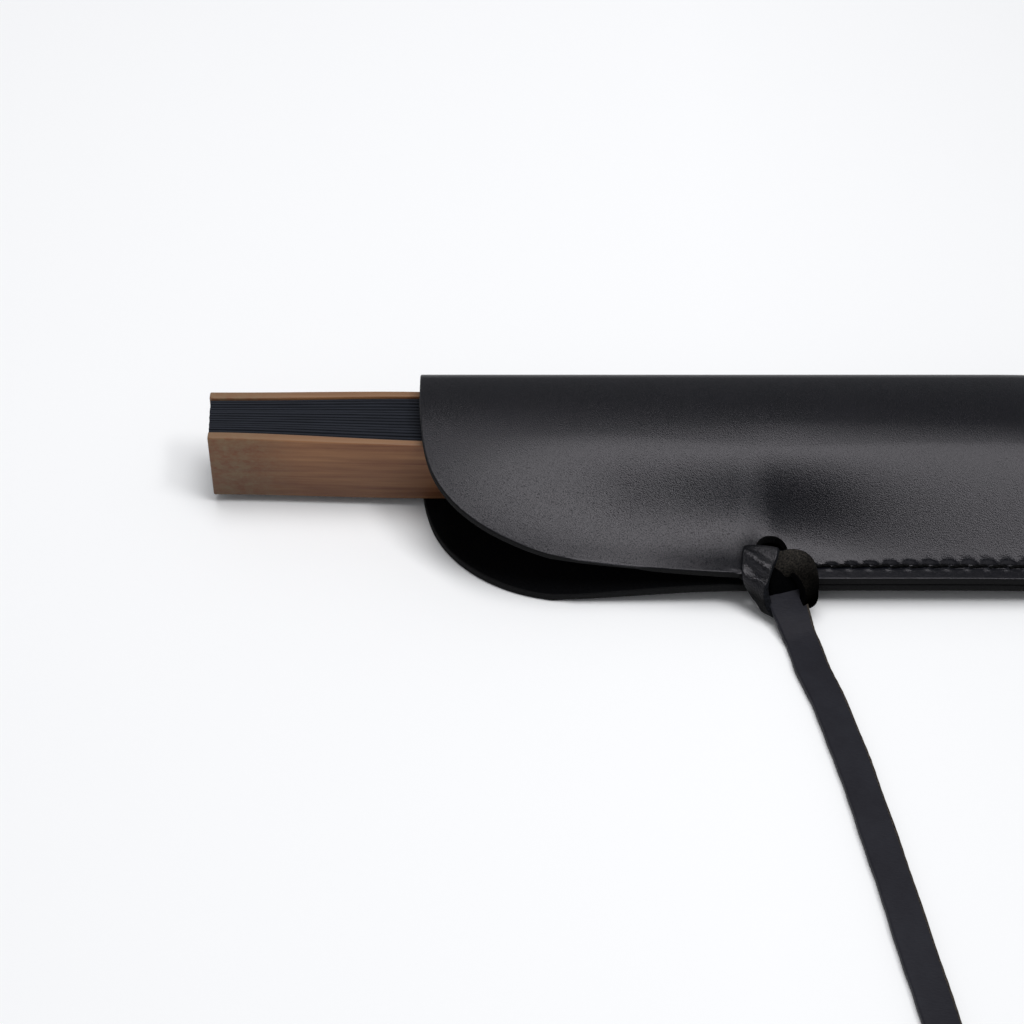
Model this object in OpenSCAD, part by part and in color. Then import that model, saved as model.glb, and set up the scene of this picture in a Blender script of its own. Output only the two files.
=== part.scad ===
// Leather sleeve for a folding fan, with the closed fan drawn a little way out of its mouth.
// X runs from the fan's tip to the sleeve's stitched end, Y from the seam to the folded back, Z up.
// All sizes are in millimetres, and the sleeve lies on the plane Z = 0.

/* [Sleeve] */
// Length of the sleeve from its mouth to its stitched end
sleeve_len = 250; // [244:1:280]
// Thickness of the leather
leather_t = 1.95; // [1.5:0.05:2.2]
// Distance from the fan's middle plane to the stitched front edge
seam_reach = 39.2; // [37:0.2:42]
// How far along the lower flap lies flat before the seam lifts off the table
lip_flat = 22; // [10:1:30]
// Radius of the two large corners at the mouth
corner_r = 31.5; // [24:0.5:33]
// How much longer than a circle's the large corners are
corner_stretch = 1.08; // [1:0.02:1.2]
// How far the flaps stand back from the mouth's top line
mouth_back = 1.2; // [0.4:0.1:2]
// Radius of the two small corners at the stitched end
end_corner_r = 6; // [4:0.5:10]
// Bend radius of the folded back, at the middle of the leather
fold_r = 2.4; // [2:0.1:3]
// How far the back spreads where the end is pressed flat
end_flare = 10.5; // [6:0.5:12]
// Length over which the end goes flat
end_taper = 35; // [30:1:38]
// Height of the sleeve's inside over the fan's handle
handle_room = 14.5; // [13:0.5:16]
// How much the top bulges between its back and its front
top_crown = 0.6; // [0.2:0.1:1]
// Tilt of the upper flap at the mouth, in degrees
flap_tilt = 7; // [3:0.5:12]
// Space between the two layers at the seam
layer_gap = 0.1; // [0.06:0.02:0.2]

/* [Seam] */
// Distance from the cut edge to the stitches
seam_margin = 3.2; // [2.6:0.1:4]
// Length of one stitch
stitch_pitch = 4.3; // [3.5:0.1:6]
// Thickness of the waxed thread
thread_t = 0.8; // [0.6:0.05:1]

/* [Knot and lace] */
// Distance from the mouth to the middle of the knot
knot_x = 79.5; // [76:0.5:84]
// Distance from the cut edge to the middle of the punched hole
hole_in = 7.8; // [7.6:0.2:9]
// How far the punched hole lies on the mouth's side of the knot
hole_side = 2.2; // [1:0.2:3]
// Radius of the punched hole
hole_r = 3; // [2.8:0.1:3.4]
// Width of the flat lace
lace_w = 6.8; // [6:0.1:7.4]
// Thickness of the lace
lace_t = 1.8; // [1.4:0.1:2]
// Middle radius of the lace coil's first turn
coil_r = 38; // [34:1:42]
// Turns in the lace coil
coil_turns = 1.1; // [1:0.05:1.6]

/* [Fan] */
// Length of the closed fan
fan_len = 225; // [218:1:232]
// How far the fan's tip stands out of the mouth
fan_out = 48; // [10:1:60]
// Height of the guards at the tip
guard_tip_h = 17.8; // [15:0.1:19]
// Height of the guards at the rivet
guard_pivot_h = 10.6; // [9:0.1:12]
// Thickness of the guards at the tip
guard_tip_t = 2.2; // [1.8:0.1:2.4]
// Thickness of the guards from the leaf to the rivet
guard_t = 1.75; // [1.4:0.05:2]
// Thickness of the closed fan at the tip
fan_tip_t = 15.5; // [14.5:0.1:17]
// Thickness of the closed fan where the leaf swells most
fan_swell_t = 18.2; // [17.5:0.1:19]
// Thickness of the closed fan at the rivet
fan_pivot_t = 13.2; // [12.6:0.1:14.5]
// Distance from the tip to the thickest place
swell_at = 52; // [40:1:70]
// Height of the paper leaf, from the tip towards the rivet
leaf_len = 128; // [110:1:140]
// Thickness of the folded leaf
leaf_t = 0.18; // [0.12:0.01:0.2]
// How far the leaf's folds stay below the guards' edges
leaf_inset = 0.7; // [0.4:0.1:1.2]
// Number of inner ribs
rib_count = 15; // [15:1:15]
// Height of the ribs inside the leaf
rib_leaf_h = 6.5; // [4:0.5:8]
// Radius of the rivet pin
pin_r = 1.5; // [1.2:0.1:2]
// Radius of the rivet's caps
cap_r = 2.6; // [2.4:0.1:3.5]

/* [Hidden] */

leather_black = [0.09, 0.09, 0.1];
lace_black = [0.13, 0.13, 0.15];
thread_black = [0.05, 0.05, 0.06];
bamboo = [0.45, 0.33, 0.26];
paper_blue = [0.13, 0.15, 0.19];
rivet_dark = [0.1, 0.09, 0.08];

// Running clearances between the fan and the sleeve, and between the rivet and what turns on it
under_gap = 0.3;
over_gap = 0.45;
back_gap = 1.15;
pin_gap = 0.05;
rib_play = 0.04;

// Heights and depths that follow from the fan and the leather
fan_z = leather_t + under_gap;
top_mid = fan_z + guard_tip_h + over_gap + leather_t / 2;
handle_mid = leather_t + handle_room + leather_t / 2;
low_mid = leather_t / 2;
flat_mid = 1.5 * leather_t + layer_gap;
back_mid = fan_swell_t / 2 + back_gap + leather_t / 2;
shoulder_y = -fan_swell_t / 2 - 0.1;
top_front = shoulder_y + 3.5;
crown_y = 5;
seam_start = knot_x + 9.4;
end_line = sleeve_len - seam_margin;

// The origin is under the middle of the sleeve, fan and knot
knot_front = seam_reach + 6.55;
shift_x = -(sleeve_len - fan_out) / 2;
shift_y = -(back_mid + end_flare + leather_t / 2 - knot_front) / 2;

function mix(a, b, k) = a + (b - a) * k;
function ease(a, b, x) = let (u = max(0, min(1, (x - a) / (b - a)))) u * u * (3 - 2 * u);
function bump(x, middle, width) = exp(-pow((x - middle) / width, 2));
function unit(v) = v / norm(v);
function circle_in(r, d) = d < r ? r - sqrt(r * r - (r - d) * (r - d)) : 0;
function rib_name(k) = str("rib_", k < 10 ? "0" : "", k);

// How the sleeve's section changes along its length
function flat_k(x) = ease(end_line - end_taper, end_line, x);
function open_mid(x) = mix(top_mid, handle_mid, ease(130, 205, x));
function top_z(x) = mix(open_mid(x), flat_mid, flat_k(x));
function crown(x, y) = top_crown * (1 - flat_k(x)) * (1 - pow((y - crown_y) / (crown_y - top_front), 2));
function crown_slope(x) = 2 * top_crown * (1 - flat_k(x)) / (crown_y - top_front);
function back_y(x) = back_mid + end_flare * ease(end_line - 1.5 * end_taper, end_line, x);
function bend_r(x) = min(fold_r, (top_z(x) - low_mid) / 2);
function pull(x) = bump(x, knot_x, 18);
function stitched(x) = ease(knot_x - 9, knot_x - 1, x);

// Two turns of lace under the knot hold the seam off the table, and the stiff leather stays up beside it
seam_rise = 2 * lace_t;
rise_in = 27;
function rise(x, d) = seam_rise * ease(lip_flat, knot_x - 7.5, x) * (1 - ease(knot_x + 36, end_line, x))
  * (1 - ease(0, rise_in, d));

// The upper flap leaves the shoulder at a tilt that grows from the mouth towards the knot
function chord_tilt(x) = mix(flap_tilt, 23.5, ease(-15, 48, x));
function chord_len(x) = mix(29.1, 32.6, ease(20, 76, x));
function loose_edge(x) = [
  shoulder_y - chord_len(x) * cos(chord_tilt(x)),
  top_z(x) - chord_len(x) * sin(chord_tilt(x))
];
function upper_edge(x) = mix(loose_edge(x), [-seam_reach, flat_mid + rise(x, 0)], stitched(x));
function edge_tilt(x) = mix(mix(12, 27 * (1 - flat_k(x)), ease(0, 60, x)), 4, pull(x));
function margin_tilt(x) = mix(edge_tilt(x), 3 * (1 - flat_k(x)), stitched(x));

function slope_dir(tilt) = [cos(tilt), sin(tilt)];
function cubic(a, b, c, e, k) =
  a * pow(1 - k, 3) + 3 * b * k * pow(1 - k, 2) + 3 * c * k * k * (1 - k) + e * pow(k, 3);
function upper_start(x) = [top_front, top_z(x)];
function seam_point(x) = upper_edge(x) + seam_margin * slope_dir(margin_tilt(x));
function upper_point(x, d) =
  let (a = upper_start(x), e = seam_point(x))
  let (reach = mix(6, 12, pull(x)) * (1 - 0.5 * flat_k(x)))
  let (b = a - reach * [1, crown_slope(x)], c = e + mix(9, 13, pull(x)) * slope_dir(edge_tilt(x)))
  d <= seam_margin
    ? upper_edge(x) + d * slope_dir(margin_tilt(x))
    : cubic(a, b, c, e, 1 - (d - seam_margin) / (norm(a - e) - 0.2));
function lower_point(x, d) = [-seam_reach + d, low_mid + rise(x, d)];

// Columns of the leather sheet, from the lower cut edge round the back to the upper cut edge
edge_steps = concat(
  [for (k = [0, 0.1, 0.4, 1]) k * seam_margin],
  [for (k = [0.11, 0.26, 0.41, 0.58, 0.79, 0.97]) mix(seam_margin, corner_r, k)]
);
edge_last = len(edge_steps) - 1;
bend_steps = 5;
function arc_points(y, z, r, from) =
  [for (k = [0:bend_steps]) let (a = from + 90 * k / bend_steps) [y + r * cos(a), z + r * sin(a)]];
function section(x) =
  let (r = bend_r(x), yb = back_y(x) - r, zt = top_z(x))
  concat(
    [for (d = edge_steps) lower_point(x, d)],
    [[mix(-seam_reach + corner_r, yb, 0.5), low_mid]],
    arc_points(yb, low_mid + r, r, -90),
    arc_points(yb, zt + crown(x, yb) - r, r, 0),
    [for (k = [0.25, 0.5, 0.75]) let (y = mix(yb, top_front, k)) [y, zt + crown(x, y)]],
    [for (k = [edge_last:-1:0]) upper_point(x, edge_steps[k])]
  );
columns = len(section(0));
rows = 44;

function edge_distance(j) = edge_steps[min(j, columns - 1 - j, edge_last)];
function on_flap(j) = min(j, columns - 1 - j) <= edge_last;
mouth_line = section(0);
function mouth_x(j) = mouth_back * ease(2, -16, mouth_line[j][0])
  + (on_flap(j) ? corner_stretch * circle_in(corner_r, edge_distance(j)) : 0);
function end_x(j) = sleeve_len - (on_flap(j) ? circle_in(end_corner_r, edge_distance(j)) : 0);
function sheet_point(i, j, side) =
  let (x = mix(mouth_x(j), end_x(j), i / rows), s = section(x))
  let (t = unit(s[min(j + 1, columns - 1)] - s[max(j - 1, 0)]))
  [x, s[j][0] + side * t[1] * leather_t / 2, s[j][1] - side * t[0] * leather_t / 2];

// A closed skin over two grids of points, with the rims between them
module grid_shell(outer, inner, n, m) {
  points = concat([for (row = outer) each row], [for (row = inner) each row]);
  half = n * m;
  out_faces = [for (i = [0:n - 2], j = [0:m - 2])
    let (a = i * m + j) each [[a, a + m, a + m + 1], [a, a + m + 1, a + 1]]];
  in_faces = [for (f = out_faces) [f[2] + half, f[1] + half, f[0] + half]];
  low_rim = [for (i = [0:n - 2])
    let (a = i * m) each [[a, a + half, a + half + m], [a, a + half + m, a + m]]];
  high_rim = [for (i = [0:n - 2])
    let (a = i * m + m - 1) each [[a, a + m, a + half + m], [a, a + half + m, a + half]]];
  first_rim = [for (a = [0:m - 2])
    each [[a, a + 1, a + half + 1], [a, a + half + 1, a + half]]];
  last_rim = [for (a = [half - m:half - 2])
    each [[a, a + half, a + half + 1], [a, a + half + 1, a + 1]]];
  polyhedron(points, concat(out_faces, in_faces, low_rim, high_rim, first_rim, last_rim), convexity = 8);
}

module placed() {
  translate([shift_x, shift_y, 0])
    children();
}

hole_y = -seam_reach + hole_in;
hole_x = knot_x - hole_side;
module sleeve() {
  color(leather_black)
    placed()
      difference() {
        grid_shell(
          [for (i = [0:rows]) [for (j = [0:columns - 1]) sheet_point(i, j, 1)]],
          [for (i = [0:rows]) [for (j = [0:columns - 1]) sheet_point(i, j, -1)]],
          rows + 1, columns
        );
        translate([hole_x, hole_y, -1])
          cylinder(h = 14, r = hole_r, $fn = 32);
      }
}

// A row of saddle stitches: legs through the leather, bars on both faces
function seam_low(x) = rise(x, seam_margin) + 0.1;
function seam_top(x) = rise(x, 0) + 2 * leather_t + layer_gap + 0.5;
module stitch_row(first, last, follow) {
  count = floor((last - first) / stitch_pitch);
  at = [for (k = [0:count]) first + k * stitch_pitch];
  low = [for (x = at) follow ? seam_low(x) : seam_low(sleeve_len)];
  top = [for (x = at) follow ? seam_top(x) : seam_top(sleeve_len)];
  h = thread_t / 2;
  rotate([90, 0, 0])
    linear_extrude(thread_t, center = true)
      difference() {
        polygon(concat(
          [[at[0] - h, low[0]]], [for (k = [0:count]) [at[k], low[k]]], [[at[count] + h, low[count]]],
          [[at[count] + h, top[count]]], [for (k = [count:-1:0]) [at[k], top[k]]], [[at[0] - h, top[0]]]
        ));
        for (k = [0:count - 1])
          polygon([
            [at[k] + h, low[k] + h], [at[k + 1] - h, low[k + 1] + h],
            [at[k + 1] - h, top[k + 1] - h], [at[k] + h, top[k] - h]
          ]);
      }
}

module seam_thread() {
  color(thread_black)
    placed()
      translate([0, -seam_reach + seam_margin, 0])
        stitch_row(seam_start, end_line - 1, true);
}

module end_thread() {
  color(thread_black)
    placed()
      translate([end_line, 0, 0])
        rotate([0, 0, 90])
          stitch_row(-seam_reach + seam_margin + stitch_pitch, back_y(end_line) - seam_margin, false);
}

// A strap of flat lace swept along stations of [centre, face normal, width]
strap_section = [
  [1, 0.4], [1, -0.4], [0.9, -1], [-0.9, -1], [-1, -0.4], [-1, 0.4], [-0.9, 1], [0.9, 1]
];
coil_section = [[1, 0], [0.9, -1], [-0.9, -1], [-1, 0], [-0.9, 1], [0.9, 1]];
module strap(stations, shape, thick) {
  n = len(stations);
  m = len(shape);
  points = [for (i = [0:n - 1])
    let (ahead = unit(stations[min(i + 1, n - 1)][0] - stations[max(i - 1, 0)][0]))
    let (side = unit(cross(ahead, stations[i][1])), face = cross(side, ahead))
    for (c = shape) stations[i][0] + c[0] * side * stations[i][2] / 2 + c[1] * face * thick / 2];
  sides = [for (i = [0:n - 2], j = [0:m - 1])
    let (a = i * m + j, b = i * m + (j + 1) % m) each [[a, b + m, b], [a, a + m, b + m]]];
  first_cap = [[for (j = [0:m - 1]) j]];
  last_cap = [[for (j = [m - 1:-1:0]) (n - 1) * m + j]];
  polyhedron(points, concat(sides, first_cap, last_cap), convexity = 6);
}

// The lace's free run from the knot over the surface, as places beside the knot
lace_lie = lace_t / 2 + 0.05;
tail_points = [
  [0.9, -2.3, 5.7], [1.7, -4.8, 4.3], [2.7, -7.6, 2.7], [3.6, -10.6, 1.4],
  [4.5, -13.8, lace_lie], [5.9, -20.6, lace_lie], [8, -28, lace_lie], [10, -36.6, lace_lie],
  [11.8, -45, lace_lie],
  [13.4, -54, lace_lie], [15, -63, lace_lie], [16.6, -72.6, lace_lie], [18.2, -82.6, lace_lie],
  [19.8, -92.6, lace_lie], [21.4, -102.6, lace_lie], [23, -112.6, lace_lie], [24.6, -122.6, lace_lie],
  [26.2, -132.6, lace_lie], [27.8, -142.6, lace_lie], [29.4, -152.6, lace_lie], [31, -161.6, lace_lie]
];

// The knot round the seam's start, drawn through the punched hole, in places beside the hole
function by_knot(p) = [knot_x + p[0], -seam_reach + p[1], p[2]];
left_lobe = [
  [[-3.2, 7.2, 6.4], [0, 1, 0.1], 5.2], [[-3.6, 7.1, 8.4], [0, 0.9, 0.5], 6.6],
  [[-4, 6.1, 9.9], [-0.05, 0.35, 1], 7.6], [[-4.3, 4, 10.6], [-0.1, -0.2, 1], 7.5],
  [[-5, 1.6, 10.2], [-0.25, -0.6, 0.75], 6.9], [[-5.3, -0.9, 8.6], [-0.2, -0.85, 0.45], 6.2],
  [[-4.7, -2.7, 6.6], [-0.6, -0.8, 0.05], 4.8], [[-3.6, -3.4, 4.2], [-0.75, -0.65, -0.2], 4.2],
  [[-2.4, -3.2, 2], [-0.4, -0.6, -0.7], 4.4], [[-1, -1.8, 0.95], [0, -0.1, -1], 5.4],
  [[0, 1, 0.95], [0, 0, -1], 6], [[0, 6.4, 0.95], [0, 0, -1], 5.6]
];
right_lobe = [
  [[-3.4, 2.3, 9.4], [0, -0.5, 0.85], 6], [[-1.2, 2.5, 10], [0, -0.5, 0.85], 6.6],
  [[1.6, 2.3, 10.5], [0.1, -0.5, 0.85], 6.8], [[4, 0.9, 10.4], [0.35, -0.6, 0.75], 6.6],
  [[5.4, -1.3, 9], [0.6, -0.8, 0.4], 6], [[5.8, -2.9, 6.7], [0.6, -0.95, 0], 5.2],
  [[5.6, -3.7, 4.1], [0.45, -0.9, -0.4], 4.8], [[4.4, -3, 2.3], [0.2, -0.5, -0.85], 5],
  [[2.8, 0.6, 2.6], [0, 0, -1], 5.4], [[1.6, 5, 2.25], [0, 0, -1], 5.2]
];
hole_strand = [
  [[-2.2, 5.4, 0.95], [0, 1, 0.3], 4.6], [[-2.2, 7.2, 2.2], [0, 1, -0.4], 4.6],
  [[-2.2, 7.8, 4.4], [0, 1, 0], 4.6], [[-2, 7.6, 7], [0, 1, 0], 4.6],
  [[-1.6, 7.2, 8.6], [0, 1, 0.3], 4.8]
];
tail_root = [
  [[0.2, 6, 8.9], [0, 0.3, 1], 4.6], [[0.4, 3.2, 8.7], [0, 0, 1], 5.2],
  [[0.6, 0.6, 8.3], [0, -0.4, 1], 5.8], [[0.75, -1.3, 7.1], [0, -0.9, 0.5], 6.4],
  [tail_points[0], [0, -0.8, 0.6], 6.8]
];
module knot_strap(stations) {
  strap([for (s = stations) [by_knot(s[0]), s[1], s[2]]], strap_section, lace_t);
}
module lace_knot() {
  color(lace_black)
    placed() {
      knot_strap(left_lobe);
      knot_strap(right_lobe);
      knot_strap(hole_strand);
      knot_strap(tail_root);
    }
}

// The rest of the lace lies in one flat coil
coil_pitch = lace_w + 0.8;
coil_first = 190;
coil_rings = ceil(24 * coil_turns);
coil_middle = tail_points[len(tail_points) - 1] - coil_r * [cos(coil_first), sin(coil_first), 0];
function coil_point(k) =
  let (turn = coil_turns * k / coil_rings, a = coil_first + 360 * turn, r = coil_r - coil_pitch * turn)
  coil_middle + r * [cos(a), sin(a), 0];
coil_points = [for (k = [0:coil_rings]) coil_point(k)];
up = [0, 0, 1];
module lace_tail() {
  color(lace_black)
    placed()
      strap([for (p = tail_points) [by_knot(p), p[2] > lace_lie ? [0, -0.8, 0.6] : up, lace_w]],
        strap_section, lace_t);
}
module lace_coil() {
  color(lace_black)
    placed()
      strap([for (p = coil_points) [by_knot(p), up, lace_w]], coil_section, lace_t);
}
function run_length(p) = [for (i = [1:len(p) - 1]) norm(p[i] - p[i - 1])] * [for (i = [1:len(p) - 1]) 1];
echo(lace_length = run_length(tail_points) + run_length(coil_points));
echo(coil_least_gap = min([for (i = [0:coil_rings], j = [0:coil_rings])
  if (j > i + 12) norm(coil_points[i] - coil_points[j]) - lace_w]));

// The closed fan: s is the distance from its tip, and its middle plane is Y = 0.
// Below the leaf the ribs widen over a short way and fill the handle, which is parallel near the rivet
handle_flat = 50;
rib_widen = 14;
pivot_r = guard_pivot_h / 2;
rivet_s = fan_len - pivot_r;
function fan_half(s) =
  mix(mix(fan_tip_t, fan_swell_t, ease(0, swell_at, s)), fan_pivot_t,
    ease(1.6 * swell_at, fan_len - handle_flat, s)) / 2;
function guard_thick(s) = mix(guard_tip_t, guard_t, ease(0, leaf_len / 2, s));
function guard_h(s) = guard_tip_h - (guard_tip_h - guard_pivot_h) * pow(min(1, s / (rivet_s - 3 * pivot_r)), 1.35);
function pleat_pitch(s) = (2 * (fan_half(s) - guard_thick(s)) - leaf_t) / (rib_count - 0.5);
leaf_stations = leaf_len * [0, 0.09, 0.2, 0.31, 0.41, 0.52, 0.64, 0.77, 0.89, 1];
handle_stations = [for (k = [0:4]) mix(leaf_len + rib_widen, fan_len, k / 4)];
fan_stations = concat(leaf_stations, handle_stations);

module fan_placed() {
  placed()
    translate([-fan_out, 0, fan_z])
      children();
}

// A long blade cut from a plan outline and a side outline, bored for the rivet
module blade(plan, side) {
  difference() {
    intersection() {
      linear_extrude(guard_tip_h + 2)
        polygon(plan);
      rotate([90, 0, 0])
        linear_extrude(fan_swell_t + 4, center = true)
          polygon(side);
    }
    translate([rivet_s, 0, pivot_r])
      rotate([90, 0, 0])
        cylinder(h = fan_swell_t + 4, r = pin_r + pin_gap, center = true, $fn = 32);
  }
}
function pivot_end() = [for (a = [-75:15:75]) [rivet_s + pivot_r * cos(a), pivot_r + pivot_r * sin(a)]];
guard_side = concat(
  [[0, 0], [rivet_s, 0]], pivot_end(), [[rivet_s, 2 * pivot_r]],
  [for (k = [13:-1:0]) let (s = (rivet_s - 3 * pivot_r) * k / 13) [s, guard_h(s)]]
);
module guard(side) {
  blade(concat(
    [for (s = fan_stations) [s, side * fan_half(s)]],
    [for (k = [len(fan_stations) - 1:-1:0])
      let (s = fan_stations[k]) [s, side * (fan_half(s) - guard_thick(s))]]
  ), guard_side);
}
module front_guard() {
  color(bamboo)
    fan_placed()
      guard(-1);
}
module rear_guard() {
  color(bamboo)
    fan_placed()
      guard(1);
}

// Ribs are thin slips inside the leaf and fill the stack between the guards outside it
rib_tip = leaf_stations[1];
rib_low = 3;
rib_seat = 0.4;
function handle_pitch(s) = 2 * (fan_half(s) - guard_thick(s)) / rib_count;
function below_leaf(s) = ease(leaf_len, leaf_len + rib_widen, s);
function rib_y(k, s) = (k - (rib_count + 1) / 2) * mix(pleat_pitch(s), handle_pitch(s), below_leaf(s));
function rib_thick(s) = s <= leaf_len + 1
  ? pleat_pitch(s) / 2 - leaf_t - 2 * rib_play
  : mix(pleat_pitch(s) / 2 - leaf_t, handle_pitch(s), below_leaf(s)) - 2 * rib_play;
rib_stations = concat(
  [for (s = leaf_stations) if (s >= rib_tip) s],
  [leaf_len + rib_widen / 3, leaf_len + rib_widen * 2 / 3],
  handle_stations
);
rib_side = concat(
  [[rib_tip, rib_low], [leaf_len, rib_low], [leaf_len + rib_widen, rib_seat], [rivet_s, 0]], pivot_end(),
  [[rivet_s, 2 * pivot_r], [rivet_s - 3 * pivot_r, guard_pivot_h - rib_seat], [leaf_len + rib_widen, guard_pivot_h]],
  [[leaf_len, rib_low + rib_leaf_h], [rib_tip, rib_low + rib_leaf_h]]
);
module rib(k) {
  last = len(rib_stations) - 1;
  color(bamboo)
    fan_placed()
      blade(concat(
        [for (s = rib_stations) [s, rib_y(k, s) - rib_thick(s) / 2]],
        [for (i = [last:-1:0]) let (s = rib_stations[i]) [s, rib_y(k, s) + rib_thick(s) / 2]]
      ), rib_side);
}

// The leaf: one strip folded to and fro, a rib in every second fold
facets = 2 * rib_count;
function facet_y(m, s) = (m - (facets - 1) / 2) * pleat_pitch(s) / 2;
function leaf_top(s) = guard_h(s) - leaf_inset - leaf_t;
// The strip's two faces where a facet meets a fold
function fold_pair(m, s, at_top) =
  let (h = leaf_t / 2, y = facet_y(m, s), up_facet = m % 2 == 0)
  let (z = at_top ? leaf_top(s) : leaf_inset + leaf_t, lean = up_facet ? -h : h)
  let (open_end = !at_top && (m == 0 || m == facets - 1))
  [[y + lean, z + (open_end ? -h : h)], [y - lean, z - h]];
function strip_pairs(s) = [for (m = [0:facets - 1])
  each (m % 2 == 0
    ? [fold_pair(m, s, false), fold_pair(m, s, true)]
    : [fold_pair(m, s, true), fold_pair(m, s, false)])];
module leaf() {
  left = [for (s = leaf_stations) [for (p = strip_pairs(s)) [s, p[0][0], p[0][1]]]];
  right = [for (s = leaf_stations) [for (p = strip_pairs(s)) [s, p[1][0], p[1][1]]]];
  color(paper_blue)
    fan_placed()
      grid_shell(right, left, len(leaf_stations), 2 * facets);
}

// The rivet: a pin through the whole stack, with a domed cap pressed on each end
cap_t = 0.8;
module rivet_pin() {
  color(rivet_dark)
    fan_placed()
      translate([rivet_s, 0, pivot_r])
        rotate([90, 0, 0])
          cylinder(h = fan_pivot_t, r = pin_r, center = true, $fn = 32);
}
module rivet_cap(side) {
  color(rivet_dark)
    fan_placed()
      translate([rivet_s, side * fan_pivot_t / 2, pivot_r])
        rotate([-90 * side, 0, 0])
          rotate_extrude($fn = 32)
            polygon([[0, 0], [cap_r, 0], [cap_r, cap_t * 0.4], [cap_r * 0.75, cap_t * 0.85], [0, cap_t]]);
}
module rivet_cap_front() {
  rivet_cap(-1);
}
module rivet_cap_rear() {
  rivet_cap(1);
}

sleeve();
seam_thread();
end_thread();
lace_knot();
lace_tail();
lace_coil();
front_guard();
rear_guard();
leaf();
rivet_pin();
rivet_cap_front();
rivet_cap_rear();
for (k = [1:rib_count])
  rib(k);
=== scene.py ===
"""A black leather sleeve for a folding fan, with the fan drawn a little way out of its mouth.

Lengths are millimetres from the sleeve's mouth line, the fan's middle plane and the table,
and placed() brings them into the frame's metres.
"""

import math

import bmesh
import bpy
import numpy as np
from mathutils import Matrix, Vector


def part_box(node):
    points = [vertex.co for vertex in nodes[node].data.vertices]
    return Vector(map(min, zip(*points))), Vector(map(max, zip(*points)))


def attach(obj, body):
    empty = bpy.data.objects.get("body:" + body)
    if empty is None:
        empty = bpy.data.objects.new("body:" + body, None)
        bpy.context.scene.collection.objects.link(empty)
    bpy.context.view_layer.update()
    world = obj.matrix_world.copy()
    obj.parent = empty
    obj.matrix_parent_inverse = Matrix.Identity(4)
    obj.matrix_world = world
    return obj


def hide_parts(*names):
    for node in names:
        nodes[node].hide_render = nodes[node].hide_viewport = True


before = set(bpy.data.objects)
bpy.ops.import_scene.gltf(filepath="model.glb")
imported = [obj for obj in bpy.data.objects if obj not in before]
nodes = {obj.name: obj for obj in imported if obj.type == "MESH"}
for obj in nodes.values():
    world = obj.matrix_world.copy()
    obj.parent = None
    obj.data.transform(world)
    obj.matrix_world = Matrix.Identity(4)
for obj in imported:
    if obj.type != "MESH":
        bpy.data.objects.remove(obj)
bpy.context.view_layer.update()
scene = bpy.context.scene
scene.view_settings.view_transform = "Standard"


# Camera
# A long lens looks down on the table at 45 degrees from 560 mm away, square to the fan.
MOUTH_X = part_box("sleeve")[0][0]
FAN_Y = (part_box("front_guard")[0][1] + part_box("rear_guard")[1][1]) / 2
MM = 0.001


def placed(points):
    """Points of this script, in the frame's metres."""
    return np.asarray(points, float) * MM + (MOUTH_X, FAN_Y, 0.0)


CAMERA_AIM = (20.9, -11.0, 0.0)
CAMERA_DISTANCE = 560.0
CAMERA_TILT = math.radians(45)
CAMERA_LENS = 86.13
CAMERA_SENSOR = 36.0
camera_data = bpy.data.cameras.new("camera")
camera_data.lens = CAMERA_LENS
camera_data.sensor_width = CAMERA_SENSOR
camera = bpy.data.objects.new("camera", camera_data)
scene.collection.objects.link(camera)
back_off = CAMERA_DISTANCE * np.array((0, -math.cos(CAMERA_TILT), math.sin(CAMERA_TILT)))
camera.location = placed(np.array(CAMERA_AIM) + back_off)
camera.rotation_euler = (math.pi / 2 - CAMERA_TILT, 0, 0)
scene.camera = camera


# Lace: the free tail and its coil
# A flat strip cut from black leather, smooth on one face and suede on the other. It leaves
# the knot, crosses the table, and its spare length lies in one flat coil.
KNOT_X = 79.5
SEAM_REACH = 39.2
LACE_W = 6.8
LACE_T = 1.8
LACE_SPREAD = 0.6
LACE_FLARE = 1.8
LACE_FLARE_FROM = 6.0
LACE_FLARE_TO = 30.0
LACE_STEPS = 29
LACE_LIE = LACE_T / 2 + 0.05
TAIL_DROP = [(0.9, -2.3, 5.7), (1.7, -4.8, 4.3), (2.7, -7.6, 2.7), (3.6, -10.6, 1.4)]
TAIL_RUN = [
    (4.5, -13.8), (5.9, -20.6), (8, -28), (10, -36.6), (11.8, -45), (13.4, -54), (15, -63),
    (16.6, -72.6), (18.2, -82.6), (19.8, -92.6), (21.4, -102.6), (23, -112.6), (24.6, -122.6),
    (26.2, -132.6), (27.8, -142.6), (29.4, -152.6), (31, -161.6),
]
TAIL_POINTS = TAIL_DROP + [(x, y, LACE_LIE) for x, y in TAIL_RUN]
TAIL_LEAN = (0, -0.8, 0.6)
COIL_RADIUS = 38.0
COIL_TURNS = 1.1
COIL_PITCH = LACE_W + 0.8
COIL_START = math.radians(190)
COIL_STATIONS = 24


def mix(a, b, k):
    """From a to b by a share k."""
    return a + (b - a) * k


def ease(a, b, x):
    """0 where x is at a or before, 1 at b or beyond, and a smooth rise between."""
    u = np.clip((x - a) / (b - a), 0, 1)
    return u * u * (3 - 2 * u)


def unit(v):
    v = np.asarray(v, float)
    return v / np.linalg.norm(v, axis=-1, keepdims=True)


def by_knot(points):
    """Points given from the seam's edge at the knot."""
    return np.asarray(points, float) + (KNOT_X, -SEAM_REACH, 0)


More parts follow.
